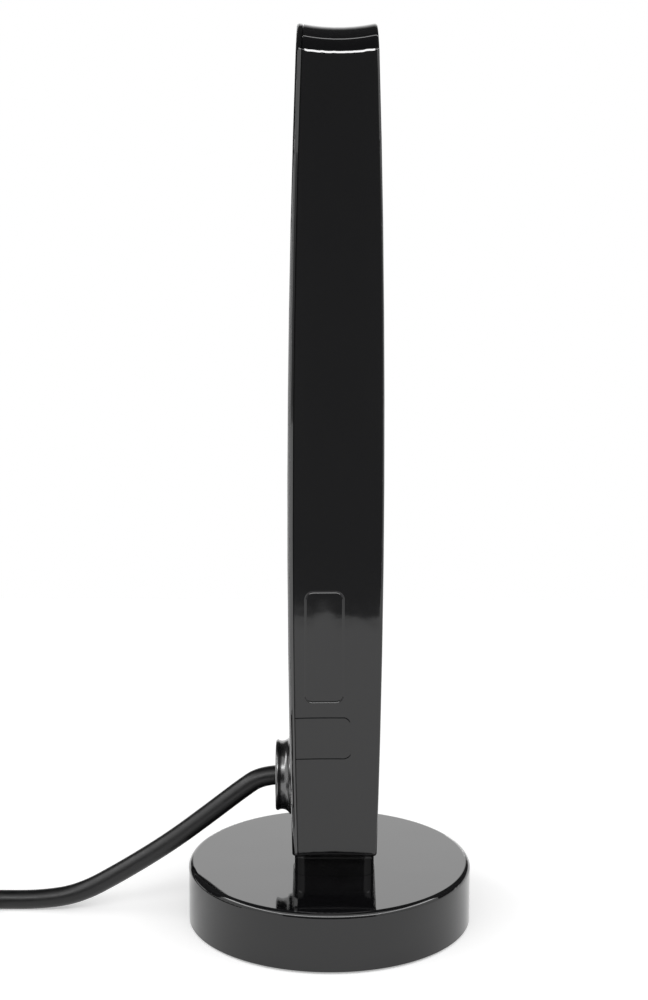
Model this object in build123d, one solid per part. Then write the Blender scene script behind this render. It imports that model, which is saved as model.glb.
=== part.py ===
from build123d import *
import math
import os

# A passive FM indoor antenna: a slim glossy tower on a weighted round base, with a coaxial lead.
# Millimetres. +Z is up, +X is the front and the lead leaves the rear face towards -X.
# The origin is the middle of the base, on the surface that the antenna stands on.

# Fits shared by all pieces
fit_gap = 0.15             # slack of a moulded piece in its seat, on each side
screw_gap = 0.1            # slack of a screw in its hole, on each side
tip_gap = 1.0              # free depth of a hole past its screw's tip

# Base
base_diameter = 89.0
base_height = 19.5         # from the table to the top face
base_wall = 2.4
base_top_wall = 2.6
base_rim_radius = 1.7
plate_thickness = 2.4
plate_ledge = 1.0          # width of the step that the bottom plate seats on
post_diameter = 7.0        # of the screw posts inside the base
post_count = 3
post_root = 0.4            # how far a post grows into the base's wall
post_end = 2.2             # solid end of a post, past its hole
rib_width = 2.0            # of the ribs that hold the weight down
rib_height = 2.8
rib_margin = 2.0           # from each end of a rib to the weight's edge
weight_bore = 31.0
weight_gap = 4.0           # between the weight and the screw posts
weight_chamfer = 0.6
collar_height = 5.0        # of the plate's ring that centres the weight
collar_wall = 2.0
pad_diameter = 10.0
pad_proud = 0.8            # stands below the plate
pad_sunk = 0.7             # sits in the plate
pad_edge = 0.3             # chamfer of its lower edge
pad_count = 4
pad_inset = 14.0           # from the base's rim to a pad's middle

# Tower
tower_gap = 8.4            # from the base's top to the tower's foot
tower_offset = 1.5         # the tower's middle stands this far in front of the base's
tower_width = 38.0         # along Y
foot_thickness = 26.1      # along X, at the foot, the belly and the crown
belly_thickness = 29.0
crown_thickness = 23.7
belly_height = 125.0       # above the foot
tower_height = 253.8       # from the foot to the crown
crown_rise = 5.6           # of the arched top over its shoulders
crown_dish = 1.3           # hollow of the top, from front to rear
side_dish = 1.0            # hollow of each side face
edge_radius = 0.9
tower_wall = 2.0
cover_thickness = 1.8
lip_thickness = 1.2        # of the rear cover's rim inside the housing
lip_height = 3.0
seam_width = 0.4           # groove between the housing and the rear cover
seam_depth = 0.3
stud_diameter = 7.6        # posts in the tower's foot that the neck screws bite into
stud_height = 10.0
stud_end = 1.0             # solid end of a stud, past its hole

# Outlines of the two blanked openings in one side, from the tower's axis and the table
switch_place = (-3.3, 95.6)
switch_size = (11.8, 35.3)
socket_place = (-5.4, 66.6)
socket_size = (21.0, 13.6)
blank_corner = 2.5
blank_groove = 0.35        # width and depth of the outlines
blank_depth = 0.12

# Neck between the base and the tower
neck_inset_x = 0.7         # how far the neck stands back from the tower's faces
neck_inset_y = 5.5
neck_corner = 4.0
neck_wall = 2.4
neck_seat = 1.0            # how far the neck sits into the base and into the tower
neck_screw_spacing = 15.0

# Screws: large ones hold the base and the neck, small ones the board and the clamp
screw_head_diameter = 5.6
screw_head_height = 1.6
screw_diameter = 3.0
small_head_diameter = 3.6
small_head_height = 1.2
small_screw_diameter = 2.0
head_edge = 0.5            # chamfer of a head's rim
driver_slot = 0.8          # width and depth of a head's cross slot
slot_inset = 1.0           # from a head's rim to the end of its slot

# Board and what it carries
board_setback = 2.0        # of the board's rear face, in front of the tower's middle
board_thickness = 1.6
board_side_gap = 3.5       # between the board and the housing's walls
board_foot_gap = 1.5       # between the studs and the board
board_headroom = 13.5      # from the board's upper end to the crown
board_post_diameter = 5.4
board_screw_length = 6.0
board_hole_inset_y = 3.2
board_hole_inset_z = 12.0
strip_thickness = 0.3
strip_width = 3.0
strip_pitch = 8.0
strip_span = 14.0          # along Y
strip_foot = 38.0          # from the board's lower end to the first fold
strip_head = 30.0          # from the board's upper end to the last fold
ground_length = 15.0       # along Z
ground_width = 12.2        # along Y
ground_margin = 1.0        # from the board's lower end
ground_corner = 1.0
ground_clearance = 0.5     # round the lead's dielectric
core_diameter = 11.0
core_bore = 5.6
core_height = 4.4
core_offset = -3.5         # along Y
core_margin = 4.0          # below the first fold
wire_size = 0.7
wire_turns = 7
winding_arc = 300.0        # degrees of the ring that are wound
capacitor_width = 5.0
capacitor_depth = 3.0
capacitor_height = 6.0
capacitor_edge_radius = 0.8
capacitor_gap = 2.0        # between the ring and the capacitor

# Strain relief on the rear cover
lead_diameter = 6.1
lead_offset = 4.5          # along Y
lead_rise = 18.4           # above the tower's foot
boss_diameter = 22.4
boss_root_diameter = 24.8
boss_thickness = 5.0
boss_land = 0.6            # straight rim at the root
boss_waist = 0.35          # hollow between the root and the face
boss_edge_radius = 0.8
boss_shank_diameter = 11.0
boss_flange_diameter = 14.0
boss_flange_thickness = 2.0
mouth_depth = 3.0          # bell mouth round the lead
mouth_flare = 1.0
clamp_reach = 9.0          # from the lead's middle to each clamp screw
clamp_post_diameter = 5.0
clamp_post_height = 3.6
clamp_thickness = 2.0
jacket_past_clamp = 1.5
dielectric_diameter = 3.7
dielectric_gap = 1.0       # between the dielectric and the board
conductor_diameter = 0.9
conductor_proud = 1.2      # past the board's front face

# Coil of the put-away lead
coil_radius = 33.5         # at the middle of the turns
coil_columns = 3
coil_layers = 2
coil_middle = (-148.0, -33.6)
coil_lead_in = 24.0        # straight length at each end of the coil
tie_width = 8.0
tie_thickness = 1.0
tie_proud = 0.5            # of the coil's outer turns
tie_angle = -60.0

# Coaxial plug, 9.5 mm
plug_diameter = 12.0
plug_grip_length = 26.0
plug_edge = 0.8            # chamfer of the grip's ends
plug_relief_length = 9.0
plug_relief_diameter = 8.0
plug_relief_wall = 0.4     # of the relief's thin end, round the lead
plug_rib_count = 5
plug_rib_depth = 0.6
plug_rib_margin = 5.0      # from each end of the grip to its ribs
sleeve_diameter = 9.5
sleeve_wall = 0.5
sleeve_length = 9.5        # in front of the grip
sleeve_collar_diameter = 10.3
sleeve_seat = 3.5          # length of the collar, which sits in the grip
sleeve_slot = 0.8
insulator_length = 5.0
pin_diameter = 2.4
pin_length = 12.0
pin_tip = 0.7              # chamfer of its end

# Heights worked out from the sizes above
plate_top = pad_proud + plate_thickness
base_roof = base_height - base_top_wall
foot_z = base_height + tower_gap
belly_z = foot_z + belly_height
crown_z = foot_z + tower_height
lead_z = foot_z + lead_rise
board_low = foot_z + tower_wall + stud_height + board_foot_gap
board_high = crown_z - board_headroom
strip_low = board_low + strip_foot
strip_fold_count = 1 + int((board_high - strip_head - strip_low) / strip_pitch)
weight_thickness = base_roof - plate_top - rib_height

# Other sizes worked out from the sizes above
base_radius = base_diameter / 2
cavity_radius = base_radius - base_wall
plate_seat_radius = cavity_radius + plate_ledge
post_circle_radius = cavity_radius - post_diameter / 2 + post_root
pad_circle_radius = base_radius - pad_inset
weight_radius = post_circle_radius - post_diameter / 2 - weight_gap
neck_thickness = foot_thickness - 2 * neck_inset_x
neck_width = tower_width - 2 * neck_inset_y
dish_radius = ((belly_thickness / 2) ** 2 + side_dish ** 2) / (2 * side_dish)
crown_radius = ((tower_width / 2) ** 2 + crown_rise ** 2) / (2 * crown_rise)
crown_dish_radius = ((crown_thickness / 2) ** 2 + crown_dish ** 2) / (2 * crown_dish)
board_width = tower_width - 2 * (side_dish + tower_wall + board_side_gap)
board_front = board_setback + board_thickness
screw_hole_radius = screw_diameter / 2 + screw_gap
small_hole_diameter = small_screw_diameter + 2 * screw_gap
lead_radius = lead_diameter / 2
coil_outer_turn = coil_radius + (coil_columns - 1) / 2 * lead_diameter
coil_top_layer = (coil_layers - 0.5) * lead_diameter
plug_length = plug_relief_length + plug_grip_length
neck_screw_places = [(tower_offset, side * neck_screw_spacing / 2) for side in (-1, 1)]

# Aids to modelling
BOTTOM = (Align.CENTER, Align.CENTER, Align.MIN)
TOP = (Align.CENTER, Align.CENTER, Align.MAX)
FAR = 2 * (tower_height + base_diameter)   # reach of a cutting tool past anything here
PAST = base_top_wall + tower_wall          # reach of a cutting tool past the face that it cuts
BEND_SHARE = 0.45                          # of the shorter run, taken up by an arc of the lead

# The lead's route outside the tower, chosen by hand: down to the table, then along it to the coil
lead_route = [
    (-21.2, 4.5, 46.3), (-28.2, 4.5, 41.2), (-38.0, 4.5, 33.3), (-50.4, 4.6, 23.6),
    (-65.5, 5.0, 13.6), (-79.5, 5.5, 5.4), (-92.0, 6.0, 3.05),
]

# From the coil to the plug, which lies beside it on the table
plug_drop = coil_top_layer - plug_diameter / 2
plug_route = [
    (-8.0, 0.0, 0.0), (-17.5, -3.6, -0.3 * plug_drop), (-24.2, -11.0, -0.75 * plug_drop),
    (-27.4, -20.4, -plug_drop), (-28.2, -30.4, -plug_drop),
]


def half_thickness(z):
    """Half the tower's thickness at a height, from one shallow arc through foot, belly and crown."""
    stations = [(foot_thickness / 2, foot_z), (belly_thickness / 2, belly_z), (crown_thickness / 2, crown_z)]
    arc = ThreePointArc(*stations)
    middle = arc.arc_center
    return middle.X + math.sqrt(arc.radius ** 2 - (z - middle.Y) ** 2)


def face_arc(side, inset, low, high):
    """The front (side 1) or rear (side -1) face seen from the side, drawn in by inset."""
    return ThreePointArc(*[(side * (half_thickness(z) - inset), z) for z in (low, belly_z, high)])


def slab(arc_a, arc_b):
    """What lies between two arcs of the side view, right across the tower."""
    outline = make_face([arc_a, Line(arc_a @ 1, arc_b @ 1), arc_b, Line(arc_b @ 0, arc_a @ 0)])
    return extrude(Plane.XZ * outline, tower_width, both=True)


def tower_form(inset=0.0, rear_inset=None):
    """The tower's form, drawn in from its faces, with hollow sides and an arched, hollow top."""
    rear = inset if rear_inset is None else rear_inset
    form = slab(face_arc(1, inset, foot_z, crown_z + PAST), face_arc(-1, rear, foot_z, crown_z + PAST))
    for side in (-1, 1):
        axis_y = side * (tower_width / 2 - side_dish + dish_radius)
        form -= Pos(0, axis_y, belly_z) * Cylinder(dish_radius + inset, FAR)
    arch = Plane((0, 0, crown_z - crown_radius), x_dir=(0, 1, 0), z_dir=(1, 0, 0))
    ring_radius = crown_radius - crown_dish + crown_dish_radius
    upper_half = (Align.CENTER, Align.MIN, Align.CENTER)
    form -= arch * Torus(ring_radius, crown_dish_radius + inset, major_angle=180, align=upper_half)
    form -= Pos(0, 0, foot_z + inset) * Box(FAR, FAR, FAR, align=TOP)
    return form


def rear_band(depth):
    """The layer of the tower's rear, from outside it to a depth below its rear face."""
    low, high = foot_z - PAST, crown_z + PAST
    return slab(face_arc(-1, -PAST, low, high), face_arc(-1, depth, low, high))


def seam_groove():
    """The groove that shows where the rear cover meets the housing."""
    band = rear_band(cover_thickness + seam_width / 2) - rear_band(cover_thickness - seam_width / 2)
    return band - tower_form(seam_depth)


def neck_outline(grow=0.0):
    """The neck's plan, grown on each side."""
    plan = RectangleRounded(neck_thickness + 2 * grow, neck_width + 2 * grow, neck_corner + grow)
    return Pos(tower_offset, 0) * plan


def neck_pocket():
    """The neck's seat in the tower's foot, from the tower's own middle."""
    return Pos(-tower_offset, 0, foot_z) * extrude(neck_outline(fit_gap), neck_seat)


def rod(diameter, start, end):
    """A round bar between two points."""
    line = Line(start, end)
    return extrude(Plane(line @ 0, z_dir=line % 0) * Circle(diameter / 2), line.length)


def lead_rod(diameter, low_x, high_x, rise=0.0):
    """A round bar along X, on the lead's axis inside the tower or at a rise over it."""
    z = lead_z + rise
    return rod(diameter, (low_x, lead_offset, z), (high_x, lead_offset, z))


def screw(length, head_diameter, head_height, diameter):
    """A pan-head screw whose head sits below the origin and whose shank points up."""
    head = Cylinder(head_diameter / 2, head_height, align=TOP)
    head = chamfer(head.edges().sort_by(Axis.Z)[0], head_edge)
    for turn in (0, 90):
        slot = Box(head_diameter - 2 * slot_inset, driver_slot, driver_slot, align=BOTTOM)
        head -= Pos(0, 0, -head_height) * Rot(0, 0, turn) * slot
    return head + Cylinder(diameter / 2, length, align=BOTTOM)


def large_screw(length):
    return screw(length, screw_head_diameter, screw_head_height, screw_diameter)


def small_screw(length):
    return screw(length, small_head_diameter, small_head_height, small_screw_diameter)


def post_places():
    return PolarLocations(post_circle_radius, post_count)


def pad_places():
    return PolarLocations(pad_circle_radius, pad_count, start_angle=180 / pad_count)


def rib_places():
    return PolarLocations((weight_radius + weight_bore / 2) / 2, post_count, start_angle=180 / post_count)


def make_base_shell():
    shell = Pos(0, 0, pad_proud) * Cylinder(base_radius, base_height - pad_proud, align=BOTTOM)
    shell = fillet(shell.edges().sort_by(Axis.Z)[-1], base_rim_radius)
    shell -= Cylinder(cavity_radius, base_roof, align=BOTTOM)
    shell -= Cylinder(plate_seat_radius, plate_top, align=BOTTOM)
    post_height = base_roof - plate_top
    post = Cylinder(post_diameter / 2, post_height, align=BOTTOM)
    post -= Cylinder(screw_hole_radius, post_height - post_end, align=BOTTOM)
    for place in post_places():
        shell += place * Pos(0, 0, plate_top) * post
    rib_length = weight_radius - weight_bore / 2 - 2 * rib_margin
    for place in rib_places():
        shell += place * Pos(0, 0, base_roof) * Box(rib_length, rib_width, rib_height, align=TOP)
    shell -= extrude(Pos(0, 0, base_height) * neck_outline(fit_gap), -neck_seat)
    for x, y in neck_screw_places:
        shell -= Pos(x, y, base_roof) * Cylinder(screw_hole_radius, base_top_wall, align=BOTTOM)
    return shell


def make_base_weight():
    disc = Cylinder(weight_radius, weight_thickness, align=BOTTOM)
    disc = chamfer(disc.edges(), weight_chamfer)
    return Pos(0, 0, plate_top) * (disc - Cylinder(weight_bore / 2, FAR))


def make_base_plate():
    plate = Pos(0, 0, pad_proud) * Cylinder(plate_seat_radius - fit_gap, plate_thickness, align=BOTTOM)
    collar_radius = weight_bore / 2 - fit_gap
    collar = Cylinder(collar_radius, collar_height, align=BOTTOM)
    plate += Pos(0, 0, plate_top) * (collar - Cylinder(collar_radius - collar_wall, FAR))
    for place in pad_places():
        plate -= place * Pos(0, 0, pad_proud) * Cylinder(pad_diameter / 2 + fit_gap, 2 * pad_sunk)
    sink = Cylinder(screw_head_diameter / 2 + screw_gap, screw_head_height, align=BOTTOM)
    for place in post_places():
        plate -= place * Cylinder(screw_hole_radius, FAR)
        plate -= place * Pos(0, 0, pad_proud) * sink
    return plate


def make_base_screws():
    top_of_head = pad_proud + screw_head_height
    length = base_roof - post_end - tip_gap - top_of_head
    return [place * Pos(0, 0, top_of_head) * large_screw(length) for place in post_places()]


def make_foot_pads():
    pad = Cylinder(pad_diameter / 2, pad_proud + pad_sunk, align=BOTTOM)
    pad = chamfer(pad.edges().sort_by(Axis.Z)[0], pad_edge)
    return [place * pad for place in pad_places()]


def make_neck():
    """A hollow block with two tubes for the screws that pull the tower down on to the base."""
    low, high = base_height - neck_seat, foot_z + neck_seat
    neck = extrude(Pos(0, 0, low) * neck_outline(), high - low)
    core = extrude(Pos(0, 0, low) * neck_outline(-neck_wall), high - low - neck_wall)
    screw_tube = Cylinder(screw_hole_radius + neck_wall / 2, high - low, align=BOTTOM)
    for x, y in neck_screw_places:
        core -= Pos(x, y, low) * screw_tube
    neck -= core
    for x, y in neck_screw_places:
        neck -= Pos(x, y, low) * Cylinder(screw_hole_radius, FAR)
    return neck


def make_neck_screws():
    length = foot_z + tower_wall + stud_height - stud_end - tip_gap - base_roof
    return [Pos(x, y, base_roof) * large_screw(length) for x, y in neck_screw_places]


def board_hole_places():
    """The board's four screw holes, as Y and Z."""
    y = board_width / 2 - board_hole_inset_y
    heights = (board_low + board_hole_inset_z, board_high - board_hole_inset_z)
    return [(side * y, z) for side in (-1, 1) for z in heights]


def blanked_openings():
    """Outlines that the mould leaves on one side, where a switch and a socket can be fitted."""
    for place, (wide, high) in ((switch_place, switch_size), (socket_place, socket_size)):
        outline = RectangleRounded(wide, high, blank_corner)
        outline -= RectangleRounded(wide - 2 * blank_groove, high - 2 * blank_groove, blank_corner - blank_groove)
        yield extrude(Plane.XZ * Pos(*place) * outline, tower_width)


def make_tower_housing(outer):
    """The front, the sides, the top and the foot in one moulding, open at the rear."""
    housing = outer - tower_form(tower_wall, -PAST) - rear_band(cover_thickness)
    core = tower_form(tower_wall / 2)
    stud = Cylinder(stud_diameter / 2, tower_wall + stud_height, align=BOTTOM)
    bite = Cylinder(screw_hole_radius, tower_wall + stud_height - stud_end, align=BOTTOM)
    for x, y in neck_screw_places:
        housing += Pos(x - tower_offset, y, foot_z) * stud
    for y, z in board_hole_places():
        housing += rod(board_post_diameter, (board_front, y, z), (belly_thickness / 2, y, z)) & core
        pilot_end = board_setback + board_screw_length + tip_gap
        housing -= rod(small_hole_diameter, (board_setback, y, z), (pilot_end, y, z))
    housing -= neck_pocket()
    for x, y in neck_screw_places:
        housing -= Pos(x - tower_offset, y, foot_z) * bite
    skin = tower_form(blank_depth)
    for outline in blanked_openings():
        housing -= outline - skin
    return housing - seam_groove()


def clamp_face():
    """X of the clamp posts' ends."""
    return -half_thickness(lead_z) + cover_thickness + clamp_post_height


def make_rear_cover(outer):
    """The rear face, with a rim that locates in the housing and posts for the clamp."""
    cover = outer & rear_band(cover_thickness)
    rim = tower_form(tower_wall + fit_gap, cover_thickness / 2)
    rim -= tower_form(tower_wall + fit_gap + lip_thickness, -PAST)
    cover += rim & rear_band(cover_thickness + lip_height)
    rear_x = -half_thickness(lead_z)
    end_x = clamp_face()
    for side in (-1, 1):
        rise = side * clamp_reach
        cover += lead_rod(clamp_post_diameter, rear_x + cover_thickness / 2, end_x, rise)
        cover -= lead_rod(small_hole_diameter, end_x - clamp_post_height, end_x, rise)
    cover -= lead_rod(boss_shank_diameter, rear_x - PAST, 0)
    return cover - neck_pocket() - seam_groove()


def make_cable_boss(cover):
    """A turned knob with a bell mouth, a shank through the cover and a flange inside it."""
    inside = -cover_thickness - boss_flange_thickness
    under_skin = -cover_thickness / 2
    throat = boss_thickness - mouth_depth
    root, rim, flange = boss_root_diameter / 2, boss_diameter / 2, boss_flange_diameter / 2
    bevel_x, bevel_r = boss_thickness - boss_edge_radius, rim - boss_edge_radius
    corner = boss_edge_radius * (1 - math.sqrt(0.5))
    outline = Polyline((throat, 0), (inside, 0), (inside, flange), (under_skin, flange), (under_skin, root),
                       (boss_land, root))
    outline += ThreePointArc((boss_land, root), (boss_thickness / 2, rim - boss_waist), (bevel_x, rim))
    outline += ThreePointArc((bevel_x, rim), (boss_thickness - corner, rim - corner), (boss_thickness, bevel_r))
    outline += Polyline((boss_thickness, bevel_r), (boss_thickness, lead_radius + mouth_flare),
                        (throat, lead_radius), (throat, 0))
    knob = revolve(make_face(outline.edges()), Axis.X)
    place = Plane((-half_thickness(lead_z), lead_offset, lead_z), x_dir=(-1, 0, 0), z_dir=(0, 0, 1))
    boss = place * knob - cover - lead_rod(lead_diameter, -FAR, 0)
    return max(boss.solids(), key=lambda solid: solid.volume)


def make_cable_clamp():
    low, high = clamp_face(), clamp_face() + clamp_thickness
    plan = Plane.YZ * SlotCenterToCenter(2 * clamp_reach, clamp_post_diameter + lead_diameter, rotation=90)
    plate = Pos(low, lead_offset, lead_z) * extrude(plan, clamp_thickness)
    plate -= lead_rod(lead_diameter, low - PAST, high + PAST)
    for side in (-1, 1):
        plate -= lead_rod(small_hole_diameter, low - PAST, high + PAST, side * clamp_reach)
    return plate


def make_clamp_screws():
    head_face = clamp_face() + clamp_thickness
    length = clamp_thickness + clamp_post_height - tip_gap
    return [Pos(head_face, lead_offset, lead_z + side * clamp_reach) * Rot(0, -90, 0) * small_screw(length)
            for side in (-1, 1)]


def make_cable_tail():
    """The lead's end inside: jacket, then dielectric, then the conductor through the board."""
    jacket_end = clamp_face() + clamp_thickness + jacket_past_clamp
    dielectric_end = board_setback - dielectric_gap
    tail = lead_rod(lead_diameter, -half_thickness(lead_z) - boss_thickness + mouth_depth, jacket_end)
    tail += lead_rod(dielectric_diameter, jacket_end, dielectric_end)
    tail += lead_rod(conductor_diameter, dielectric_end, board_front + conductor_proud)
    return tail


def make_antenna_board():
    low_corner = (Align.MIN, Align.CENTER, Align.MIN)
    board = Box(board_thickness, board_width, board_high - board_low, align=low_corner)
    board = Pos(board_setback, 0, board_low) * board
    low, high = board_setback - PAST, board_front + PAST
    for y, z in board_hole_places():
        board -= rod(small_hole_diameter, (low, y, z), (high, y, z))
    return board - lead_rod(conductor_diameter + 2 * screw_gap, low, high)


def make_board_screws():
    return [Pos(board_setback, y, z) * Rot(0, 90, 0) * small_screw(board_screw_length)
            for y, z in board_hole_places()]


def on_board(sketch, height):
    """A flat pattern, drawn in Y and Z, standing on the board's rear face."""
    return extrude(Pos(board_setback, 0, 0) * (Plane.YZ * sketch), -height)


def make_radiator():
    """One strip folded to and fro up the board."""
    pattern = Pos(0, strip_low) * Rectangle(strip_span, strip_width)
    for fold in range(1, strip_fold_count):
        z = strip_low + fold * strip_pitch
        side = 1 if fold % 2 else -1
        edge = side * (strip_span - strip_width) / 2
        pattern += Pos(0, z) * Rectangle(strip_span, strip_width)
        pattern += Pos(edge, z - strip_pitch / 2) * Rectangle(strip_width, strip_pitch)
    return on_board(pattern, strip_thickness)


def make_ground_strip():
    """A frame round the feed point, which the lead's screen is soldered to."""
    middle = board_low + ground_margin + ground_length / 2
    pattern = Pos(0, middle) * RectangleRounded(ground_width, ground_length, ground_corner)
    pattern -= Pos(lead_offset, lead_z) * Circle(dielectric_diameter / 2 + ground_clearance)
    return on_board(pattern, strip_thickness)


def core_place():
    """The matching ring's middle, on its wire's thickness over the board."""
    stand = wire_size + screw_gap + core_height / 2
    z = strip_low - strip_width / 2 - core_margin - core_diameter / 2
    return Pos(board_setback - stand, core_offset, z)


def make_matching_core():
    ring = Cylinder(core_diameter / 2, core_height) - Cylinder(core_bore / 2, core_height)
    return core_place() * Rot(0, 90, 0) * ring


def make_matching_winding():
    """Square turns of wire round the ring's section, each one closed."""
    wide = (core_diameter - core_bore) / 2 + 2 * screw_gap
    high = core_height + 2 * screw_gap
    loop = Rectangle(wide + 2 * wire_size, high + 2 * wire_size) - Rectangle(wide, high)
    turn = Pos((core_diameter + core_bore) / 4, 0, 0) * extrude(Plane.XZ * loop, wire_size / 2, both=True)
    step = winding_arc / wire_turns
    return [core_place() * Rot(0, 90, 0) * Rot(0, 0, step * count) * turn for count in range(wire_turns)]


def make_matching_capacitor():
    on_its_back = (Align.MAX, Align.MIN, Align.CENTER)
    block = Box(capacitor_depth, capacitor_width, capacitor_height, align=on_its_back)
    block = fillet(block.edges().filter_by(Axis.X), capacitor_edge_radius)
    beside_ring = core_offset + core_diameter / 2 + capacitor_gap
    return Pos(board_setback, beside_ring, core_place().position.Z) * block


def rounded_path(points):
    """Straight runs joined by arcs as large as the runs allow, with the radii printed."""
    corners = [Vector(*point) for point in points]
    runs = [after - before for before, after in zip(corners, corners[1:])]
    radii = []
    for run, following in zip(runs, runs[1:]):
        half_turn = math.radians(run.get_angle(following)) / 2
        radii.append(BEND_SHARE * min(run.length, following.length) / math.tan(half_turn))
    print("bend radii", [round(radius, 1) for radius in radii])
    return FilletPolyline(*corners, radius=radii)


def tube(points):
    path = rounded_path(points)
    solid = sweep(Plane(path @ 0, z_dir=path % 0) * Circle(lead_radius), path=path)
    section = math.pi * lead_radius ** 2
    print("tube volume", round(solid.volume, 2), "section times length", round(section * path.length, 2))
    return solid


def coil_end(side, layer_z):
    """Where the lead joins the coil (side 1) or leaves it (side -1)."""
    x, y = coil_middle
    return (x + side * coil_lead_in, y + coil_outer_turn, layer_z)


def make_cable():
    start_x = tower_offset - half_thickness(lead_z) - boss_thickness + mouth_depth
    return tube([(start_x, lead_offset, lead_z)] + lead_route + [coil_end(1, lead_radius)])


def plug_points():
    """The lead's points from the coil to the plug."""
    x, y, z = coil_end(-1, coil_top_layer)
    return [(x, y, z)] + [(x + dx, y + dy, z + dz) for dx, dy, dz in plug_route]


def make_cable_end():
    return tube(plug_points())


def coil_section(grow):
    """The turns' section, grown on each side, with its corners cut off along the outer turns."""
    wide, high = coil_columns * lead_diameter, coil_layers * lead_diameter
    section = Rectangle(wide + 2 * grow, high + 2 * grow)
    section = chamfer(section.vertices(), (2 - math.sqrt(2)) * (lead_radius + grow))
    return Pos(coil_radius, high / 2) * section


def make_coil_tie():
    """A strap round the turns, flat against the table below them."""
    outer = extrude(Plane.XZ * coil_section(tie_proud), tie_width / 2, both=True)
    outer &= Box(FAR, FAR, FAR, align=BOTTOM)
    inner = extrude(Plane.XZ * coil_section(tie_proud - tie_thickness), tie_width / 2, both=True)
    inner &= Pos(0, 0, tie_thickness) * Box(FAR, FAR, FAR, align=BOTTOM)
    return Pos(*coil_middle) * Rot(0, 0, tie_angle) * (outer - inner)


def make_cable_coil(tie):
    x, y = coil_middle
    coil = Pos(x, y) * revolve(Plane.XZ * coil_section(0.0), Axis.Z)
    for side, layer_z in ((1, lead_radius), (-1, coil_top_layer)):
        coil += rod(lead_diameter, (x, y + coil_outer_turn, layer_z), coil_end(side, layer_z))
    return coil - tie


def plug_place(along=0.0):
    """The plug's axis, at a distance from where the lead ends."""
    before, last = [Vector(*point) for point in plug_points()[-2:]]
    return Plane(last, x_dir=(0, 0, 1), z_dir=last - before) * Pos(0, 0, along)


def make_plug_grip():
    """A moulded grip with a tapered relief, ribs and a seat for the sleeve's collar."""
    radius = plug_diameter / 2
    outline = Polyline((0, 0), (lead_radius + plug_relief_wall, 0),
                       (plug_relief_diameter / 2, plug_relief_length),
                       (radius - plug_edge, plug_relief_length), (radius, plug_relief_length + plug_edge),
                       (radius, plug_length - plug_edge), (radius - plug_edge, plug_length),
                       (0, plug_length), close=True)
    grip = revolve(Plane.XZ * make_face(outline), Axis.Z)
    pitch = (plug_grip_length - 2 * plug_rib_margin) / plug_rib_count
    groove = Cylinder(plug_diameter, pitch / 2) - Cylinder(radius - plug_rib_depth, pitch / 2)
    for rib in range(plug_rib_count):
        grip -= Pos(0, 0, plug_relief_length + plug_rib_margin + rib * pitch) * groove
    grip -= Pos(0, 0, plug_length) * Cylinder(sleeve_collar_diameter / 2, sleeve_seat, align=TOP)
    return plug_place() * grip


def make_plug_sleeve():
    """The outer contact, split in four at its mouth, on a collar that sits in the grip."""
    total = sleeve_seat + sleeve_length
    sleeve = Cylinder(sleeve_collar_diameter / 2, sleeve_seat, align=BOTTOM)
    sleeve += Cylinder(sleeve_diameter / 2, total, align=BOTTOM)
    sleeve -= Cylinder(sleeve_diameter / 2 - sleeve_wall, total, align=BOTTOM)
    for turn in (45, 135):
        slot = Box(2 * sleeve_diameter, sleeve_slot, total - insulator_length, align=TOP)
        sleeve -= Pos(0, 0, total) * Rot(0, 0, turn) * slot
    return plug_place(plug_length - sleeve_seat) * sleeve


def make_plug_insulator():
    disc = Cylinder(sleeve_diameter / 2 - sleeve_wall, insulator_length, align=BOTTOM)
    return plug_place(plug_length - sleeve_seat) * (disc - Cylinder(pin_diameter / 2, FAR))


def make_plug_pin():
    pin = Cylinder(pin_diameter / 2, pin_length, align=BOTTOM)
    pin = chamfer(pin.edges().sort_by(Axis.Z)[-1], pin_tip)
    return plug_place(plug_length - sleeve_seat) * pin


def in_tower(shape):
    """Moves a piece of the tower from the tower's own middle to its place on the base."""
    if isinstance(shape, list):
        return [Pos(tower_offset, 0, 0) * one for one in shape]
    return Pos(tower_offset, 0, 0) * shape


def make_all():
    outer = tower_form()
    outer = fillet(outer.edges(), edge_radius)
    cover = make_rear_cover(outer)
    tie = make_coil_tie()
    return {
        "base_shell": make_base_shell(),
        "base_weight": make_base_weight(),
        "base_plate": make_base_plate(),
        "base_screws": make_base_screws(),
        "foot_pads": make_foot_pads(),
        "neck": make_neck(),
        "neck_screws": make_neck_screws(),
        "tower_housing": in_tower(make_tower_housing(outer)),
        "rear_cover": in_tower(cover),
        "cable_boss": in_tower(make_cable_boss(cover)),
        "cable_clamp": in_tower(make_cable_clamp()),
        "clamp_screws": in_tower(make_clamp_screws()),
        "cable_tail": in_tower(make_cable_tail()),
        "antenna_board": in_tower(make_antenna_board()),
        "board_screws": in_tower(make_board_screws()),
        "radiator": in_tower(make_radiator()),
        "ground_strip": in_tower(make_ground_strip()),
        "matching_core": in_tower(make_matching_core()),
        "matching_winding": in_tower(make_matching_winding()),
        "matching_capacitor": in_tower(make_matching_capacitor()),
        "cable": make_cable(),
        "cable_coil": make_cable_coil(tie),
        "coil_tie": tie,
        "cable_end": make_cable_end(),
        "plug_grip": make_plug_grip(),
        "plug_sleeve": make_plug_sleeve(),
        "plug_insulator": make_plug_insulator(),
        "plug_pin": make_plug_pin(),
    }


def main():
    os.makedirs("parts", exist_ok=True)
    for name, shape in make_all().items():
        whole = Compound(children=shape) if isinstance(shape, list) else shape
        export_step(whole, os.path.join("parts", name + ".step"))


main()
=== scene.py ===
import math
import bpy
from mathutils import Matrix, Vector


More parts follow.
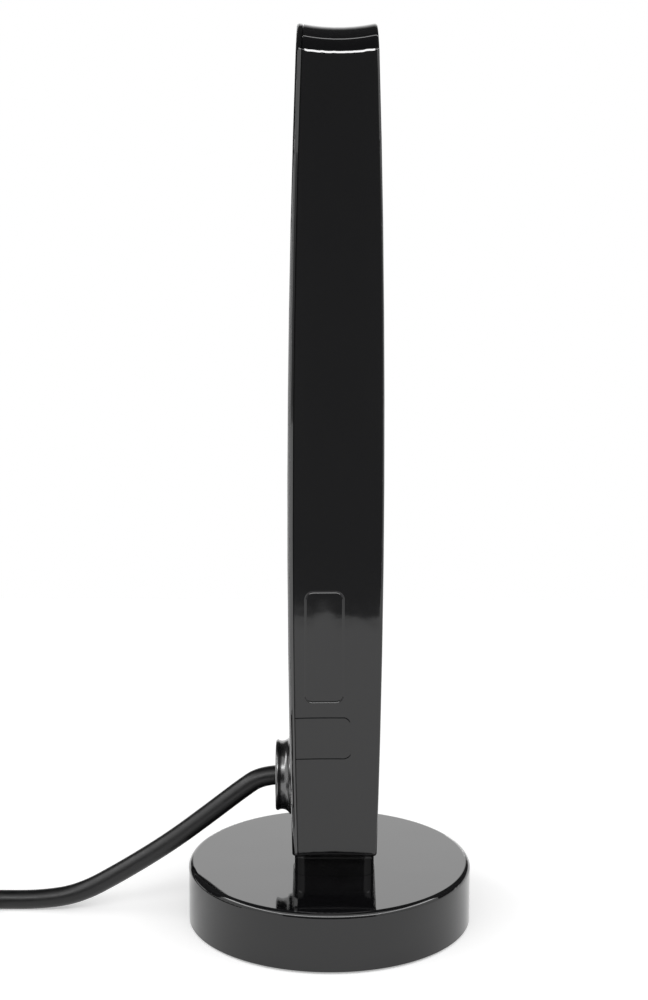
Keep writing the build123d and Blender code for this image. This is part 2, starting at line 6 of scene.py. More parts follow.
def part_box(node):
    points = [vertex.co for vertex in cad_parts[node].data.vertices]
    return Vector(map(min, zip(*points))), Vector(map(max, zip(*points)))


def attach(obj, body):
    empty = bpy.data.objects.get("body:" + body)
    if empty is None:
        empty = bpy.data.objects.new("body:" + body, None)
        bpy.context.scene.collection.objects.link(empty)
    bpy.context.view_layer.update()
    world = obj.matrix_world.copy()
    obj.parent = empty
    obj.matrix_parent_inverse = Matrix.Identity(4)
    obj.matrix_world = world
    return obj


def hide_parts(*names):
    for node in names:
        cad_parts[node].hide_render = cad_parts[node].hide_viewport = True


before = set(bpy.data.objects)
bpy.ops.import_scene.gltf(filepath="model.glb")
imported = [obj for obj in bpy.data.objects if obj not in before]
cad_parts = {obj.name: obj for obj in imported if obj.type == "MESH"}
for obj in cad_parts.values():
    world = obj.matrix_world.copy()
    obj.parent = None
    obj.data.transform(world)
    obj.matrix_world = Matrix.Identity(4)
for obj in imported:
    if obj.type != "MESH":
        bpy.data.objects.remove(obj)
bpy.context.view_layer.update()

# Metres, in the part's own frame: +Z up, +X to the front, the lead leaves towards -X
MM = 0.001
MICRON = 0.001 * MM
ROOT = "root"

# Camera, looking along +Y and down on the base
CAMERA_PLACE = (-0.00204, -0.83447, 0.35665)
CAMERA_PITCH = math.radians(14.736)
CAMERA_ROLL = math.radians(0.16)
CAMERA_LENS = 101.48       # mm, on a sensor that is 36 mm along the picture's long side

# The lead, with the points of its routes in mm. As far as the table they are those of the part's source
LEAD_DIAMETER = 6.1 * MM
LEAD_OUT = (4.5, 46.3)     # Y and Z where it leaves the tower
LEAD_ROUTE = [             # from the tower to the coil
    (-21.2, 4.5, 46.3), (-28.2, 4.5, 41.2), (-38.0, 4.5, 33.3), (-50.4, 4.6, 23.6),
    (-65.5, 5.0, 13.6), (-79.5, 5.5, 5.4), (-92.0, 6.0, 3.05), (-107.0, 6.0, 3.05),
    (-124.0, 6.0, 3.05), (-137.0, 6.0, 3.05),
]
PLUG_ROUTE = [             # from the coil to the plug
    (-159.5, 11.7, 9.15), (-170.5, 10.0, 9.15), (-180.5, 6.5, 8.9), (-189.5, 1.6, 8.2),
    (-196.2, -5.6, 6.8), (-199.4, -14.6, 6.0), (-200.2, -24.4, 6.0),
]
LEAD_ORDER = 3             # of the spline, which touches each leg of the route at its middle
LEAD_FINENESS = 8          # how finely the tube is cut, along and round it

# The coil, in mm: the radius at the start of each turn and, last, at the end of the coil
COIL_MIDDLE = (-148.0, -33.6)
COIL_RADII = [39.6, 33.5, 27.4, 27.4, 33.5, 39.6, 45.7]
COIL_LOWER = 3             # turns that lie on the table, with the others on top of them
COIL_LOW, COIL_HIGH = 3.05, 9.15
COIL_STEPS = 24            # points to a turn
INWARD = (0.80, 1.0)       # stretch of a turn in which the lower turns step inwards
CLIMB = (0.82, 1.0)        # in which the last of them climbs
OUTWARD = (0.78, 0.98)     # in which the upper turns step outwards


def ease(value, low, high):
    """0 before low, 1 after high and a smooth step between them."""
    share = min(1.0, max(0.0, (value - low) / (high - low)))
    return share * share * (3 - 2 * share)


def coil_points():
    """Control points of the turns, anticlockwise from the coil's far side."""
    pull = math.cos(math.pi / COIL_STEPS)   # a spline runs inside its points by this share
    turns = len(COIL_RADII) - 1
    points = []
    for step in range(turns * COIL_STEPS + 1):
        turn = min(step // COIL_STEPS, turns - 1)
        along = step / COIL_STEPS - turn
        lower = turn < COIL_LOWER
        radius = COIL_RADII[turn]
        radius += (COIL_RADII[turn + 1] - radius) * ease(along, *(INWARD if lower else OUTWARD))
        height = COIL_LOW if lower else COIL_HIGH
        if turn == COIL_LOWER - 1:
            height += (COIL_HIGH - COIL_LOW) * ease(along, *CLIMB)
        angle = math.pi / 2 + 2 * math.pi * step / COIL_STEPS
        x = COIL_MIDDLE[0] + radius / pull * math.cos(angle)
        y = COIL_MIDDLE[1] + radius / pull * math.sin(angle)
        points.append((x, y, height))
    return points


def make_camera():
    data = bpy.data.cameras.new("camera")
    data.lens = CAMERA_LENS
    camera = bpy.data.objects.new("camera", data)
    camera.location = CAMERA_PLACE
    aim = Matrix.Rotation(math.pi / 2 - CAMERA_PITCH, 3, "X") @ Matrix.Rotation(CAMERA_ROLL, 3, "Z")
    camera.rotation_euler = aim.to_euler()
    bpy.context.scene.collection.objects.link(camera)
    bpy.context.scene.camera = camera


def make_lead():
    """The lead as one smooth tube from the tower's boss, through the coil, to the plug."""
    exit_point = (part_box("cable")[1].x, LEAD_OUT[0] * MM, LEAD_OUT[1] * MM)
    line = LEAD_ROUTE + coil_points() + PLUG_ROUTE
    points = [exit_point] + [tuple(MM * value for value in point) for point in line]
    curve = bpy.data.curves.new("lead", "CURVE")
    curve.dimensions = "3D"
    curve.bevel_depth = 1.0    # times the radius of each point
    curve.bevel_resolution = LEAD_FINENESS
    curve.resolution_u = LEAD_FINENESS
    spline = curve.splines.new("NURBS")
    spline.points.add(len(points) - 1)
    for control, point in zip(spline.points, points):
        control.co = (*point, 1.0)
        control.radius = LEAD_DIAMETER / 2
    spline.order_u = LEAD_ORDER
    spline.use_endpoint_u = True
    lead = bpy.data.objects.new("lead", curve)
    bpy.context.scene.collection.objects.link(lead)
    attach(lead, ROOT)
    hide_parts("cable", "cable_coil", "cable_end")
    return lead


# Bevels along the crown's two long edges
BEVEL_TILT = math.radians(22)
BEVEL_WIDTH = 0.55 * MM
BEVEL_PROUD = 0.03 * MM
BEVEL_SUNK = 0.15 * MM
BEVEL_ENDS = (-8.0 * MM, 12.3 * MM)
BEVEL_STEPS = 24
SEARCH_RANGE = 14 * MM     # how far up from a low point on the side the edge is looked for
SEARCH_TRIES = 280         # rays over that range
SEARCH_START = 20 * MM     # how far out from the side they start


def edge_point(low_point, out, up):
    """The point of the housing above low_point that lies furthest along out."""
    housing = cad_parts["tower_housing"]
    best = None
    for step in range(SEARCH_TRIES + 1):
        start = low_point + up * (SEARCH_RANGE * step / SEARCH_TRIES) + out * SEARCH_START
        hit, place, _, _ = housing.ray_cast(start, -out)
        if hit and (best is None or place.dot(out) > best.dot(out)):
            best = place
    return best


def make_bevel(name, side):
    """A flat polished bevel along the crown's edge, on the side of Y that side gives as 1 or -1."""
    _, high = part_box("tower_housing")
    out = Vector((0, side * math.cos(BEVEL_TILT), math.sin(BEVEL_TILT)))
    up = Vector((0, -side * math.sin(BEVEL_TILT), math.cos(BEVEL_TILT)))
    half = up * BEVEL_WIDTH / 2
    points = []
    for step in range(BEVEL_STEPS + 1):
        x = BEVEL_ENDS[0] + (BEVEL_ENDS[1] - BEVEL_ENDS[0]) * step / BEVEL_STEPS
        edge = edge_point(Vector((x, side * high.y, high.z - SEARCH_RANGE)), out, up)
        middle = edge + out * BEVEL_PROUD
        points += [tuple(point) for point in (middle - half, middle + half, edge - out * BEVEL_SUNK)]
    faces = [(0, 1, 2), tuple(3 * BEVEL_STEPS + place for place in (2, 1, 0))]
    for step in range(BEVEL_STEPS):
        for first, second in ((0, 1), (1, 2), (2, 0)):
            here, there = 3 * step, 3 * step + 3
            faces.append((here + second, here + first, there + first, there + second))
    mesh = bpy.data.meshes.new(name)
    mesh.from_pydata(points, [], faces)
    bevel = bpy.data.objects.new(name, mesh)
    bpy.context.scene.collection.objects.link(bevel)
    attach(bevel, ROOT)
    return bevel


NOISE_RANGE = (0.3, 0.7)   # what most of a noise lies between


class Shader:
    """A material with one principled shader, and the nodes that feed it."""

    def __init__(self, name, **sockets):
        self.material = bpy.data.materials.new(name)
        self.material.use_nodes = True
        self.nodes = self.material.node_tree.nodes
        self.links = self.material.node_tree.links
        self.shader = self.nodes["Principled BSDF"]
        for socket, value in sockets.items():
            self.shader.inputs[socket.replace("_", " ")].default_value = value
        self.place = self.nodes.new("ShaderNodeTexCoord").outputs["Object"]
        self.normal = None
        self.rough = None

    def feed(self, value, socket):
        self.links.new(value, self.shader.inputs[socket])

    def calc(self, operation, first, second=0.0):
        """One step of arithmetic on sockets or numbers."""
        node = self.nodes.new("ShaderNodeMath")
        node.operation = operation
        for value, socket in zip((first, second), node.inputs):
            if isinstance(value, float):
                socket.default_value = value
            else:
                self.links.new(value, socket)
        return node.outputs["Value"]

    def distance(self, first, second):
        """How far a point is that lies first along one axis and second along another."""
        squares = [self.calc("MULTIPLY", value, value) for value in (first, second)]
        return self.calc("SQRT", self.calc("ADD", *squares))

    def ramp(self, value, low, high, start, end, kind="SMOOTHSTEP"):
        """A step from start to end while the value runs from low to high, soft unless told otherwise."""
        node = self.nodes.new("ShaderNodeMapRange")
        node.interpolation_type = kind
        sockets = ("From Min", "From Max", "To Min", "To Max")
        for socket, number in zip(sockets, (low, high, start, end)):
            node.inputs[socket].default_value = number
        self.links.new(value, node.inputs["Value"])
        return node.outputs["Result"]

    def line(self, value, low, high, start, end):
        return self.ramp(value, low, high, start, end, "LINEAR")

    def axes(self):
        """X, Y and Z of the place on the object."""
        split = self.nodes.new("ShaderNodeSeparateXYZ")
        self.links.new(self.place, split.inputs["Vector"])
        return split.outputs["X"], split.outputs["Y"], split.outputs["Z"]

    def facing(self, axis):
        """1 on a surface that faces along an axis, 0 on one that lies along it."""
        split = self.nodes.new("ShaderNodeSeparateXYZ")
        normal = self.nodes.new("ShaderNodeTexCoord").outputs["Normal"]
        self.links.new(normal, split.inputs["Vector"])
        return self.calc("ABSOLUTE", split.outputs[axis])

    def stretched(self, share):
        """The place on the object, drawn out along Z."""
        mapping = self.nodes.new("ShaderNodeMapping")
        mapping.inputs["Scale"].default_value = (1, 1, share)
        self.links.new(self.place, mapping.inputs["Vector"])
        return mapping.outputs["Vector"]

    def noise(self, size, detail=2.0, place=None):
        """Noise whose lumps are about size across, in metres."""
        node = self.nodes.new("ShaderNodeTexNoise")
        node.inputs["Scale"].default_value = 1 / size
        node.inputs["Detail"].default_value = detail
        self.links.new(place or self.place, node.inputs["Vector"])
        return node.outputs["Fac"]

    def colours(self, noise, low, high):
        """Two colours mixed by a noise."""
        node = self.nodes.new("ShaderNodeMix")
        node.data_type = "RGBA"
        node.inputs["A"].default_value = (*low, 1)
        node.inputs["B"].default_value = (*high, 1)
        self.links.new(noise, node.inputs["Factor"])
        self.feed(node.outputs["Result"], "Base Color")

    def roughness(self, noise, low, high):
        """Roughness that runs from low to high with a noise."""
        self.rough = self.line(noise, *NOISE_RANGE, low, high)
        self.feed(self.rough, "Roughness")

    def bump(self, value, height):
        """Relief of a height in metres, over any relief that is there already."""
        node = self.nodes.new("ShaderNodeBump")
        node.inputs["Distance"].default_value = height
        self.links.new(value, node.inputs["Height"])
        if self.normal:
            self.links.new(self.normal, node.inputs["Normal"])
        self.normal = node.outputs["Normal"]
        self.feed(self.normal, "Normal")
        if self.shader.inputs["Coat Weight"].default_value > 0:
            self.feed(self.normal, "Coat Normal")

    def rectangle(self, middle, size, corner):
        """Distance from an upright rounded rectangle in X and Z, less than 0 inside it."""
        x, _, z = self.axes()
        past = []
        for place, centre, length in zip((x, z), middle, size):
            away = self.calc("ABSOLUTE", self.calc("SUBTRACT", place, centre))
            past.append(self.calc("SUBTRACT", away, length / 2 - corner))
        round_part = self.distance(*[self.calc("MAXIMUM", value, 0.0) for value in past])
        flat_part = self.calc("MINIMUM", self.calc("MAXIMUM", *past), 0.0)
        return self.calc("SUBTRACT", self.calc("ADD", round_part, flat_part), corner)


# Tones of the black plastics, each as the darker and the lighter of two
DEEP_BLACK = ((0.0035, 0.0035, 0.004), (0.005, 0.005, 0.0056))
BOSS_BLACK = ((0.004, 0.004, 0.0045), (0.006, 0.006, 0.0065))
NECK_BLACK = ((0.004, 0.004, 0.0043), (0.006, 0.006, 0.0064))
MATT_BLACK = ((0.011, 0.011, 0.0115), (0.016, 0.016, 0.0165))
JACKET_BLACK = ((0.0035, 0.0035, 0.0038), (0.006, 0.006, 0.0063))

# Clear skins: how far a surface faces along an axis, from and to, and the skin's weight there
BASE_SKIN = (0.3, 0.95, 0.12, 1.0)     # along Z, so thin down the wall and thick on the top
COVER_SKIN = (0.3, 0.8, 0.0, 0.7)      # along Y, so on the long edges and not on the rear face
COVER_SATIN = (0.7, 0.95, 0.0, 0.25)   # along X, the roughness of the rear face
NECK_SKIN = (0.7, 0.99, 0.0, 0.5)      # along Y
HOUSING_SKIN = (0.15, 1.0)             # weight on the faces, and on the round upper edges
EDGE_ROUND = (0.05, 0.35)    # X times Y of the normal, from and to which a long edge counts as round
EDGE_HEIGHT = (0.13, 0.17)   # Z from and to which the round edges take the thicker skin

# Waves and grain of a polished moulding
WAVE_SIZE = 28 * MM
WAVE_HEIGHT = 80 * MICRON
POLISH_RELIEF = 1.2 * MICRON
HOUSING_WAVE_HEIGHT = 30 * MICRON
RIPPLE_SIZE = 7 * MM
RIPPLE_HEIGHT = 20 * MICRON

# Relief on the tower's near side: the outlines of the blanked openings, as middle and size in X and Z
SWITCH = ((-0.0018, 0.0956), (0.0118, 0.0353))
SOCKET = ((-0.0039, 0.0666), (0.0210, 0.0136))
BLANK_CORNER = 2.5 * MM
BLANK_LINE = -0.175 * MM     # the groove's middle, from the outline
BLANK_REACH = 0.40 * MM      # how far from there the surface sinks
BLANK_SINK = 0.17 * MM
SOCKET_SHARE = 0.4           # of that depth, for the lower outline
HOLLOW = ((-0.0016, 0.0990), (0.0070, 0.0240))
HOLLOW_SINK = 0.045 * MM
NEAR_SIDE = -10 * MM         # Y up to which a surface counts as the near side
CROWN_LINE = (-12.4 * MM, -11.5 * MM)   # Y from and to which a fine step runs across the crown
CROWN_STEP = 0.7 * MM
CROWN_SLOPE = 0.5            # it runs only where the surface faces up more than this
COVER_EDGE = (-14 * MM, -5 * MM)        # X from and to which the cover's long edges fall back
COVER_FALL = 7 * MM


def gloss_black(name, skin, wave=WAVE_HEIGHT):
    """Polished black moulding: deep black under a clear skin, with the slow waves of its mould."""
    made = Shader(name, Roughness=0.05, IOR=1.5, Coat_Weight=skin, Coat_Roughness=0.015, Coat_IOR=1.5)
    made.colours(made.noise(30 * MM), *DEEP_BLACK)
    made.roughness(made.noise(12 * MM, 4), 0.03, 0.08)
    made.bump(made.noise(WAVE_SIZE, 1), wave)
    made.bump(made.noise(1.5 * MM, 1), POLISH_RELIEF)
    return made


def base_black():
    """The polished moulding, with its clear skin thick on the top and thin down the wall."""
    made = gloss_black("gloss_base", 1.0)
    made.feed(made.ramp(made.facing("Z"), *BASE_SKIN), "Coat Weight")
    return made.material


def cover_black():
    """The polished moulding, with long edges that round off to the rear and a satin rear face."""
    made = gloss_black("gloss_cover", 0.5)
    made.shader.inputs["Coat IOR"].default_value = 1.6
    made.feed(made.ramp(made.facing("Y"), *COVER_SKIN), "Coat Weight")
    satin = made.ramp(made.facing("X"), *COVER_SATIN)
    made.feed(made.calc("MAXIMUM", made.rough, satin), "Roughness")
    made.bump(made.line(made.axes()[0], *COVER_EDGE, 0.0, 1.0), COVER_FALL)
    return made.material


def outlines(made):
    """1 away from the outlines of the blanked openings, and less in their grooves."""
    depths = []
    for (middle, size), share in ((SWITCH, 1.0), (SOCKET, SOCKET_SHARE)):
        away = made.calc("SUBTRACT", made.rectangle(middle, size, BLANK_CORNER), BLANK_LINE)
        depths.append(made.ramp(made.calc("ABSOLUTE", away), 0.0, BLANK_REACH, 1.0 - share, 1.0))
    return made.calc("MINIMUM", *depths)


def thumb_hollow(made, x, z):
    """1 outside the hollow in the upper outline, and 0 at its deepest."""
    depths = []
    for place, centre, length in zip((x, z), *HOLLOW):
        share = made.calc("DIVIDE", made.calc("SUBTRACT", place, centre), length / 2)
        square = made.calc("MULTIPLY", share, share)
        depths.append(made.calc("MAXIMUM", made.calc("SUBTRACT", 1.0, square), 0.0))
    return made.calc("SUBTRACT", 1.0, made.calc("MULTIPLY", *depths))


def housing_black():
    """The polished moulding, with the relief of its near side and crown, and polished long edges."""
    made = gloss_black("gloss_housing", HOUSING_SKIN[0], HOUSING_WAVE_HEIGHT)
    made.bump(made.noise(RIPPLE_SIZE, 1), RIPPLE_HEIGHT)
    x, y, z = made.axes()
    corner = made.calc("MULTIPLY", made.facing("X"), made.facing("Y"))
    upper = made.ramp(z, *EDGE_HEIGHT, 0.0, 1.0)
    polish = made.calc("MULTIPLY", made.ramp(corner, *EDGE_ROUND, 0.0, 1.0), upper)
    made.feed(made.line(polish, 0.0, 1.0, *HOUSING_SKIN), "Coat Weight")
    far_side = made.calc("GREATER_THAN", y, NEAR_SIDE)
    made.bump(made.calc("MAXIMUM", outlines(made), far_side), BLANK_SINK)
    made.bump(made.calc("MAXIMUM", thumb_hollow(made, x, z), far_side), HOLLOW_SINK)
    wall = made.calc("LESS_THAN", made.facing("Z"), CROWN_SLOPE)
    made.bump(made.calc("MAXIMUM", made.ramp(y, *CROWN_LINE, 0.0, 1.0), wall), CROWN_STEP)
    return made.material


def edge_black():
    """The polished bevel on the crown's edges."""
    made = Shader("gloss_edge", IOR=2.0, Coat_Weight=1.0, Coat_Roughness=0.02, Coat_IOR=1.5)
    made.colours(made.noise(4 * MM), *DEEP_BLACK)
    made.roughness(made.noise(3 * MM, 4), 0.04, 0.10)
    made.bump(made.noise(1.2 * MM, 1), POLISH_RELIEF)
    return made.material


def boss_black():
    """The boss: a smooth moulding with a soft shine."""
    made = Shader("boss_black", IOR=1.5, Coat_Weight=1.0, Coat_Roughness=0.25, Coat_IOR=2.0)
    made.colours(made.noise(4 * MM), *BOSS_BLACK)
    made.roughness(made.noise(3 * MM, 4), 0.08, 0.16)
    made.bump(made.noise(1.2 * MM, 2), 4 * MICRON)
    return made.material


# The step round the top of the neck: middle and size in X and Z of its upright rounded rectangle
NECK_STEP = ((0.0015, 0.01035), (0.0256, 0.0300))
NECK_CORNER = 3.0 * MM
NECK_RAMP = 0.4 * MM
NECK_SINK = 0.08 * MM


def neck_black():
    """The neck: a satin moulding, with a step round its top."""
    made = Shader("neck_black", IOR=1.5, Specular_IOR_Level=0.25, Coat_Weight=0.5,
                  Coat_Roughness=0.03, Coat_IOR=1.5)
    made.feed(made.ramp(made.facing("Y"), *NECK_SKIN), "Coat Weight")
    made.colours(made.noise(6 * MM), *NECK_BLACK)
    made.roughness(made.noise(2 * MM, 4), 0.12, 0.22)
    made.bump(made.noise(0.8 * MM, 2), 4 * MICRON)
    from_step = made.rectangle(*NECK_STEP, NECK_CORNER)
    made.bump(made.ramp(from_step, -NECK_RAMP / 2, NECK_RAMP / 2, 1.0, 0.0), NECK_SINK)
    return made.material


def moulded_black(name, grain, relief, rough):
    """Matt black plastic with a fine moulded grain."""
    made = Shader(name, IOR=1.5)
    made.colours(made.noise(8 * MM, 3), *MATT_BLACK)
    made.roughness(made.noise(grain * 3, 3), *rough)
    made.bump(made.noise(grain, 3), relief)
    return made.material


def lead_jacket():
    """Extruded jacket: matt, with a fine skin."""
    made = Shader("lead_jacket", IOR=1.48)
    made.colours(made.noise(12 * MM, 3), *JACKET_BLACK)
    made.roughness(made.noise(4 * MM, 4), 0.34, 0.44)
    made.bump(made.noise(0.9 * MM, 3), 20 * MICRON)
    return made.material


# Shares of a plated metal's colour and roughness, and how its streaks are drawn out
PLATED_DULL = 0.8
PLATED_ROUGH = (0.7, 1.4)
STREAK_STRETCH = 0.05
STREAK_RELIEF = 6 * MICRON


def plated(name, colour, rough, streak):
    """Plated metal with fine drawn streaks along Z."""
    made = Shader(name, Metallic=1.0)
    dull = tuple(PLATED_DULL * value for value in colour)
    made.colours(made.noise(3 * MM, 4), dull, colour)
    streaks = made.noise(streak, 3, made.stretched(STREAK_STRETCH))
    made.roughness(streaks, *[share * rough for share in PLATED_ROUGH])
    made.bump(streaks, STREAK_RELIEF)
    return made.material


BOARD_GREEN = ((0.02, 0.11, 0.045), (0.03, 0.15, 0.06))
WEAVE_SIZE = 0.6 * MM
WEAVE_STRETCH = 0.3
WEAVE_RELIEF = 10 * MICRON


def laminate():
    """Green solder mask over a woven glass board."""
    made = Shader("board_laminate", IOR=1.5)
    weave = made.noise(WEAVE_SIZE, 1, made.stretched(WEAVE_STRETCH))
    made.colours(made.noise(4 * MM, 3), *BOARD_GREEN)
    made.roughness(weave, 0.25, 0.4)
    made.bump(weave, WEAVE_RELIEF)
    return made.material


PLAIN_ROUGH = (0.8, 1.2)   # shares of a plain surface's roughness
PLAIN_RELIEF = 0.02        # height of its grain, as a share of the grain's size


def plain(name, low, high, rough, grain):
    """Two close tones and a fine grain, for small pieces."""
    made = Shader(name, IOR=1.5)
    made.colours(made.noise(grain * 4, 3), low, high)
    made.roughness(made.noise(grain * 2, 3), *[share * rough for share in PLAIN_ROUGH])
    made.bump(made.noise(grain, 2), grain * PLAIN_RELIEF)
    return made.material


def dress(material, *names):
    """Gives CAD nodes one material."""
    for name in names:
        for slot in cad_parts[name].material_slots:
            slot.material = material


def dress_mouldings():
    """The black plastics and the rubber."""
    plate = moulded_black("plate_black", grain=0.6 * MM, relief=40 * MICRON, rough=(0.45, 0.6))
    pad = moulded_black("pad_rubber", grain=0.4 * MM, relief=30 * MICRON, rough=(0.7, 0.85))
    tie = moulded_black("tie_black", grain=0.5 * MM, relief=30 * MICRON, rough=(0.4, 0.55))
    grip = moulded_black("plug_black", grain=0.4 * MM, relief=20 * MICRON, rough=(0.35, 0.5))
    dress(base_black(), "base_shell")
    dress(cover_black(), "rear_cover")
    dress(housing_black(), "tower_housing")
    dress(boss_black(), "cable_boss")
    dress(neck_black(), "neck")
    dress(plate, "base_plate", "cable_clamp")
    dress(pad, "foot_pads")
    dress(tie, "coil_tie")
    dress(grip, "plug_grip")


def dress_metals():
    weight = plated("weight_steel", colour=(0.5, 0.5, 0.49), rough=0.35, streak=2 * MM)
    zinc = plated("zinc_steel", colour=(0.6, 0.6, 0.59), rough=0.25, streak=0.8 * MM)
    copper = plated("strip_copper", colour=(0.72, 0.4, 0.25), rough=0.3, streak=1 * MM)
    nickel = plated("plug_nickel", colour=(0.74, 0.72, 0.68), rough=0.12, streak=0.6 * MM)
    dress(weight, "base_weight")
    dress(zinc, "base_screws", "neck_screws", "board_screws", "clamp_screws")
    dress(copper, "radiator", "ground_strip")
    dress(nickel, "plug_sleeve", "plug_pin")


def dress_small_parts():
    """The board, what stands on it, and the plug's insulator."""
    ferrite = plain("core_ferrite", low=(0.03, 0.03, 0.032), high=(0.05, 0.05, 0.052),
                    rough=0.6, grain=0.5 * MM)
    enamel = plain("wire_enamel", low=(0.3, 0.1, 0.03), high=(0.42, 0.16, 0.05),
                   rough=0.25, grain=0.5 * MM)
    resin = plain("capacitor_body", low=(0.4, 0.17, 0.03), high=(0.5, 0.23, 0.05),
                  rough=0.25, grain=1 * MM)
    white = plain("plug_white", low=(0.72, 0.72, 0.69), high=(0.8, 0.8, 0.77),
                  rough=0.4, grain=0.6 * MM)
    dress(laminate(), "antenna_board")
    dress(ferrite, "matching_core")
    dress(enamel, "matching_winding")
    dress(resin, "matching_capacitor")
    dress(white, "plug_insulator")


def dress_all(lead, bevels):
    dress_mouldings()
    dress_metals()
    dress_small_parts()
    jacket = lead_jacket()
    dress(jacket, "cable_tail")
    lead.data.materials.append(jacket)
    edge = edge_black()
    for bevel in bevels:
        bevel.data.materials.append(edge)


# Studio: a white table that ends in front of the antenna, and dark flags that only its gloss sees
TABLE_FRONT = -0.357           # Y of the table's edges
TABLE_BACK = 0.35
TABLE_REACH = 6.0              # half its width
TABLE_TONE = 0.8
TABLE_LIFT = 0.4               # brings the table to white beside the antenna
TABLE_FAR = (0.3, 0.9, 0.6)    # X from and to which the camera sees it lifted more, and by how much
COIL_LIGHT_PATCH = (-0.108, -0.020)   # X and Y beside the coil: the middle of a patch of painted light over the coil's shadow, seen only by the camera
COIL_PAINTED_LIGHT = (0.012, 0.035, 0.16)   # how far round it the painted light reaches, from and to, and how strong it is
FLAG_TONE = 0.04
FLAG_HEIGHT = 1.6              # of the flag overhead
FLAG_FRONT = -0.2              # Y of its edges
FLAG_BACK = 2.7
FLAG_SIDE = 1.2                # half its width
ROOM_WALL = (-6.0, 4.5, 2.8)   # Y, half width and height
ROOM_SIDE = 1.6                # half the width of the dim floor in front of the table
ROOM_GLOW = 0.15
CARD_TONE = 0.02
BACK_CARD = (0.6, 0.1, 1.5)    # Y, and Z from and to
BACK_CARD_FADE = (0.31, 0.55)  # Z over which its lower edge comes in, straight behind the antenna
BACK_CARD_HANG = (0.08, 2.0)   # X past which it hangs lower, and how much for each metre


def sheet_of(name, corners):
    mesh = bpy.data.meshes.new(name)
    mesh.from_pydata(corners, [], [(0, 1, 2, 3)])
    thing = bpy.data.objects.new(name, mesh)
    bpy.context.scene.collection.objects.link(thing)
    return thing


def level_sheet(name, side, front, back, height):
    corners = [(-side, front), (side, front), (side, back), (-side, back)]
    return sheet_of(name, [(x, y, height) for x, y in corners])


def upright_sheet(name, side, y, low, high):
    corners = [(-side, low), (side, low), (side, high), (-side, high)]
    return sheet_of(name, [(x, y, z) for x, z in corners])


def background_rays(nodes, links):
    """1 for what the camera sees, straight or in gloss and glass, and 0 for light on the object."""
    path = nodes.new("ShaderNodeLightPath")
    seen = path.outputs["Is Camera Ray"]
    for other in ("Is Glossy Ray", "Is Transmission Ray"):
        either = nodes.new("ShaderNodeMath")
        either.operation = "MAXIMUM"
        links.new(seen, either.inputs[0])
        links.new(path.outputs[other], either.inputs[1])
        seen = either.outputs["Value"]
    return seen


def table_white():
    """White table: it takes shadows, and looks white where there are none; beside the coil, painted
    light lightens the coil's shadow where the camera sees it.
    """
    made = Shader("table_white", Base_Color=(TABLE_TONE, TABLE_TONE, TABLE_TONE, 1), Roughness=0.9,
                  Specular_IOR_Level=0.0, Emission_Color=(1, 1, 1, 1))
    lift = made.calc("MULTIPLY", background_rays(made.nodes, made.links), TABLE_LIFT)
    x, y, _ = made.axes()
    near, far, more = TABLE_FAR
    away = made.ramp(made.calc("ABSOLUTE", x), near, far, 0.0, more)
    # Painted light: a soft patch beside the coil that lightens the coil's shadow for the camera
    offsets = [made.calc("SUBTRACT", place, middle) for place, middle in zip((x, y), COIL_LIGHT_PATCH)]
    near, far, more = COIL_PAINTED_LIGHT
    painted_light = made.ramp(made.distance(*offsets), near, far, more, 0.0)
    seen = made.nodes.new("ShaderNodeLightPath").outputs["Is Camera Ray"]
    extra = made.calc("MULTIPLY", seen, made.calc("ADD", away, painted_light))
    made.feed(made.calc("ADD", lift, extra), "Emission Strength")
    return made.material


def flag_dark(name, tone):
    return Shader(name, Base_Color=(tone, tone, tone, 1), Roughness=0.9)


def card_dark():
    """A dark card whose lower edge fades out."""
    made = flag_dark("card_dark", CARD_TONE)
    x, _, z = made.axes()
    start, rate = BACK_CARD_HANG
    past = made.calc("MAXIMUM", made.calc("SUBTRACT", made.calc("ABSOLUTE", x), start), 0.0)
    hang = made.calc("MULTIPLY", past, rate)
    made.feed(made.ramp(made.calc("ADD", z, hang), *BACK_CARD_FADE, 0.0, 1.0), "Alpha")
    return made


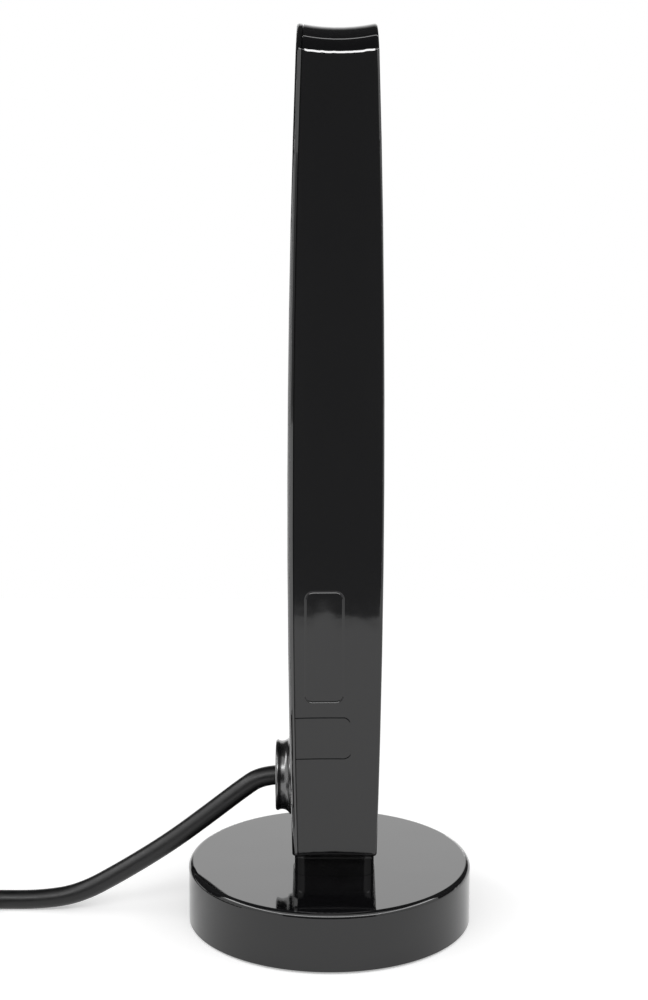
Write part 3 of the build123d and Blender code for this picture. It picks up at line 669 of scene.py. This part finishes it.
def make_stage():
    table = level_sheet("table", TABLE_REACH, TABLE_FRONT, TABLE_BACK, 0.0)
    table.data.materials.append(table_white())
    dark = flag_dark("flag_dark", FLAG_TONE)
    dim = Shader("room_dim", Base_Color=(0, 0, 0, 1), Emission_Color=(1, 1, 1, 1),
                 Emission_Strength=ROOM_GLOW)
    wall_place, wall_side, wall_height = ROOM_WALL
    flags = [
        (level_sheet("room_floor", ROOM_SIDE, -TABLE_REACH, TABLE_FRONT, 0.0), dim),
        (upright_sheet("room_wall", wall_side, wall_place, 0.0, wall_height), dark),
        (level_sheet("overhead", FLAG_SIDE, FLAG_FRONT, FLAG_BACK, FLAG_HEIGHT), dark),
        (upright_sheet("back_card", TABLE_REACH, *BACK_CARD), card_dark()),
    ]
    for flag, made in flags:
        flag.data.materials.append(made.material)
        flag.visible_camera = False
        flag.visible_diffuse = False
        flag.visible_shadow = False


# Light: soft strips above the antenna, each with its place, width and depth, and power in watts
LAMP_TARGET = (0, 0, 0.12)
LAMPS = {
    "key": ((0, -1.1, 1.15), (2.2, 0.3), 12),
    "left": ((-1.2, -0.3, 1.15), (1.5, 0.3), 6.5),
    "right": ((1.2, -0.3, 1.15), (1.5, 0.3), 6),
}
WORLD_LIGHT = 0.4          # strength of the white world as light on the object
WORLD_SEEN = 1.0           # and as what the camera sees, straight or in gloss


def soft_light(name, place, size, power):
    data = bpy.data.lights.new(name, "AREA")
    data.shape = "RECTANGLE"
    data.size, data.size_y = size
    data.energy = power
    light = bpy.data.objects.new(name, data)
    light.location = place
    aim = Vector(LAMP_TARGET) - Vector(place)
    light.rotation_euler = aim.to_track_quat("-Z", "Y").to_euler()
    light.visible_camera = False
    bpy.context.scene.collection.objects.link(light)


def make_light():
    for name, lamp in LAMPS.items():
        soft_light(name, *lamp)
    world = bpy.data.worlds.new("studio")
    bpy.context.scene.world = world
    world.use_nodes = True
    nodes, links = world.node_tree.nodes, world.node_tree.links
    ground = nodes["Background"]
    ground.inputs["Color"].default_value = (1, 1, 1, 1)
    mix = nodes.new("ShaderNodeMapRange")
    mix.inputs["To Min"].default_value = WORLD_LIGHT
    mix.inputs["To Max"].default_value = WORLD_SEEN
    links.new(background_rays(nodes, links), mix.inputs["Value"])
    links.new(mix.outputs["Result"], ground.inputs["Strength"])


bpy.context.scene.view_settings.view_transform = "Standard"
make_camera()
dress_all(make_lead(), [make_bevel("bevel_near", -1), make_bevel("bevel_far", 1)])
make_stage()
make_light()
